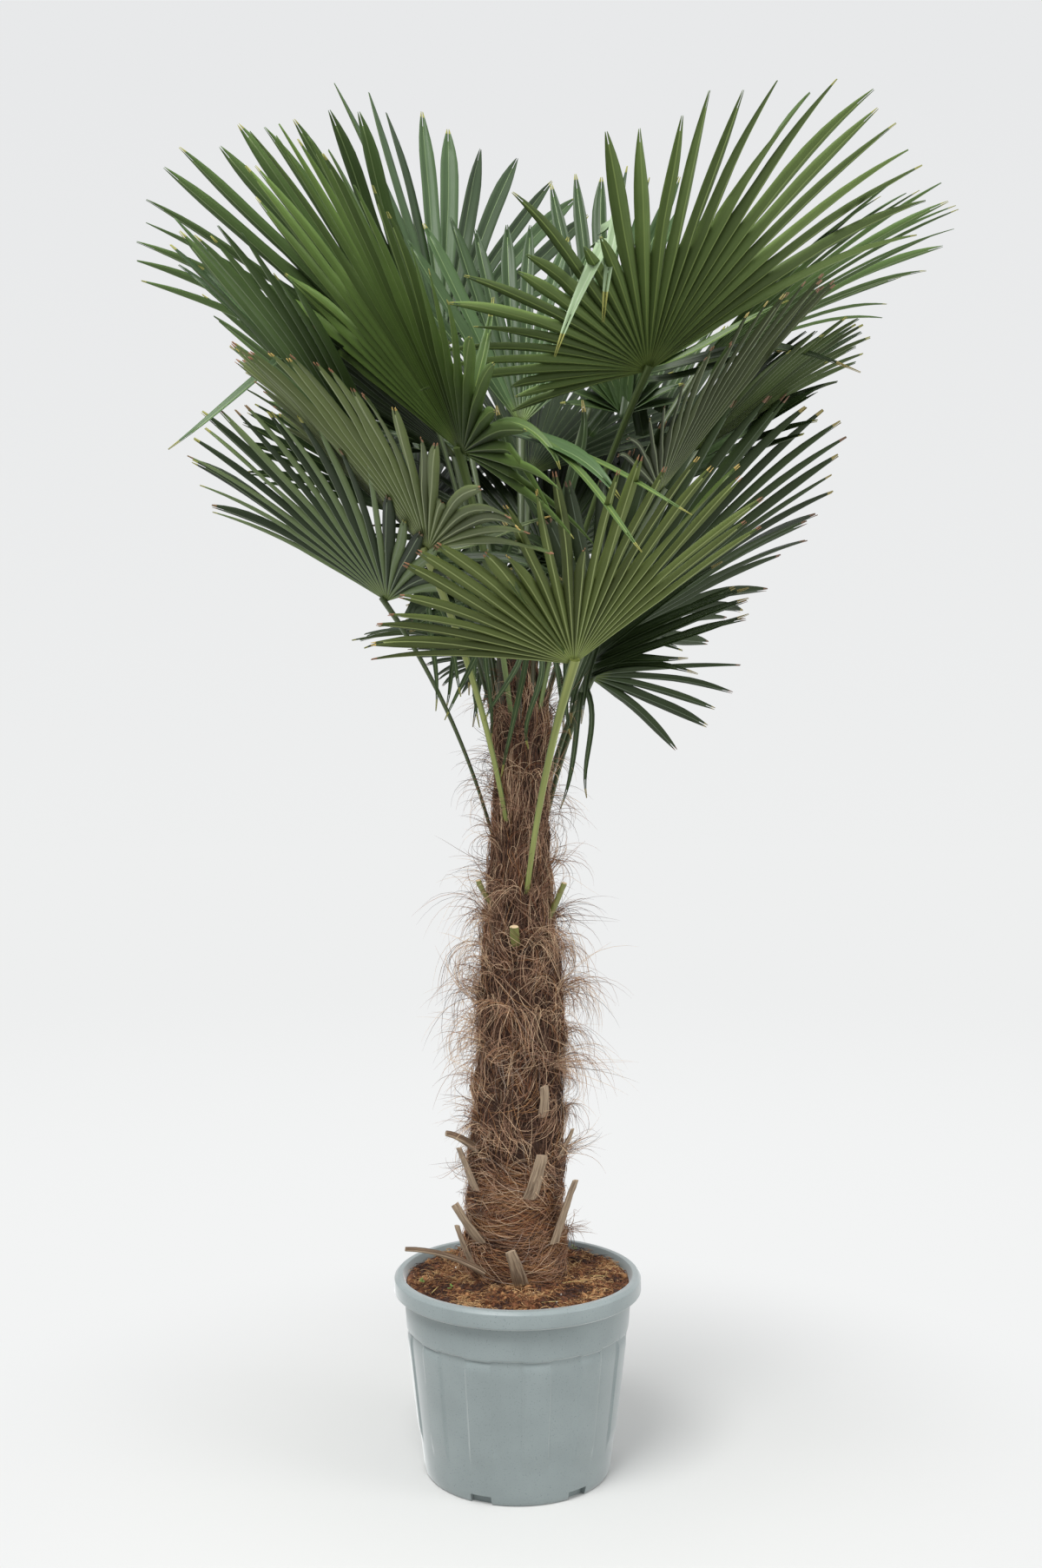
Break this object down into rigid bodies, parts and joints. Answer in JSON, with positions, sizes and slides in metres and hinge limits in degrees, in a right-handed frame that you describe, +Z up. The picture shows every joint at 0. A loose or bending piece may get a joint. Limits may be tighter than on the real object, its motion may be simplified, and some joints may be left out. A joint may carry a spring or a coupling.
{
  "type": "potted windmill palm",
  "caption": "Windmill palm with a fibrous trunk and a crown of pleated fan leaves, growing in a round plastic nursery pot.",
  "frame": {"origin": "middle of the pot's flat underside, on the surface that the pot stands on", "axes": "+Z up along the trunk, -Y towards the side that is seen first, +X to its right"},
  "size_m": [1.5691, 1.4986, 2.6826],
  "materials": {
    "pot": "moulded, matte, finely speckled",
    "soil": "loose coir potting soil",
    "trunk_fibre": "hairy brown fibre mat",
    "petiole": "smooth, slightly waxy",
    "leaf": "pleated leaf, soft sheen",
    "old_stub": "dry, cut"
  },
  "bodies": {
    "root": {"pot": "pot", "soil": "soil", "trunk": "trunk_fibre", "petiole_front_low": "petiole", "petiole_right_top_front": "petiole", "petiole_left_top_front": "petiole", "petiole_left_front": "petiole", "petiole_right_front": "petiole", "petiole_right_low": "petiole", "petiole_left_low": "petiole", "petiole_left_top": "petiole", "petiole_back_left_top": "petiole", "petiole_right_top": "petiole", "petiole_back_right_low": "petiole", "petiole_left_middle": "petiole", "petiole_right_middle": "petiole", "petiole_back_left_middle": "petiole", "petiole_left_inner": "petiole", "petiole_centre_young_left": "petiole", "petiole_centre_young_right": "petiole", "petiole_back_middle": "petiole", "petiole_back_left_low": "petiole", "petiole_back_right": "petiole", "petiole_back_left": "petiole", "petiole_back_low": "petiole", "petiole_back_top": "petiole", "blade_front_low": "leaf", "blade_right_top_front": "leaf", "blade_left_top_front": "leaf", "blade_left_front": "leaf", "blade_right_front": "leaf", "blade_right_low": "leaf", "blade_left_low": "leaf", "blade_left_top": "leaf", "blade_back_left_top": "leaf", "blade_right_top": "leaf", "blade_back_right_low": "leaf", "blade_left_middle": "leaf", "blade_right_middle": "leaf", "blade_back_left_middle": "leaf", "blade_left_inner": "leaf", "blade_centre_young_left": "leaf", "blade_centre_young_right": "leaf", "blade_back_middle": "leaf", "blade_back_left_low": "leaf", "blade_back_right": "leaf", "blade_back_left": "leaf", "blade_back_low": "leaf", "blade_back_top": "leaf", "stub_long_left": "old_stub", "stub_front_low": "old_stub", "stub_left_low": "old_stub", "stub_left": "old_stub", "stub_left_high": "old_stub", "stub_front": "old_stub", "stub_right_low": "old_stub", "stub_right": "old_stub", "stub_cut_front": "old_stub", "stub_cut_right": "old_stub", "stub_cut_left": "old_stub"}
  },
  "joints": []
}
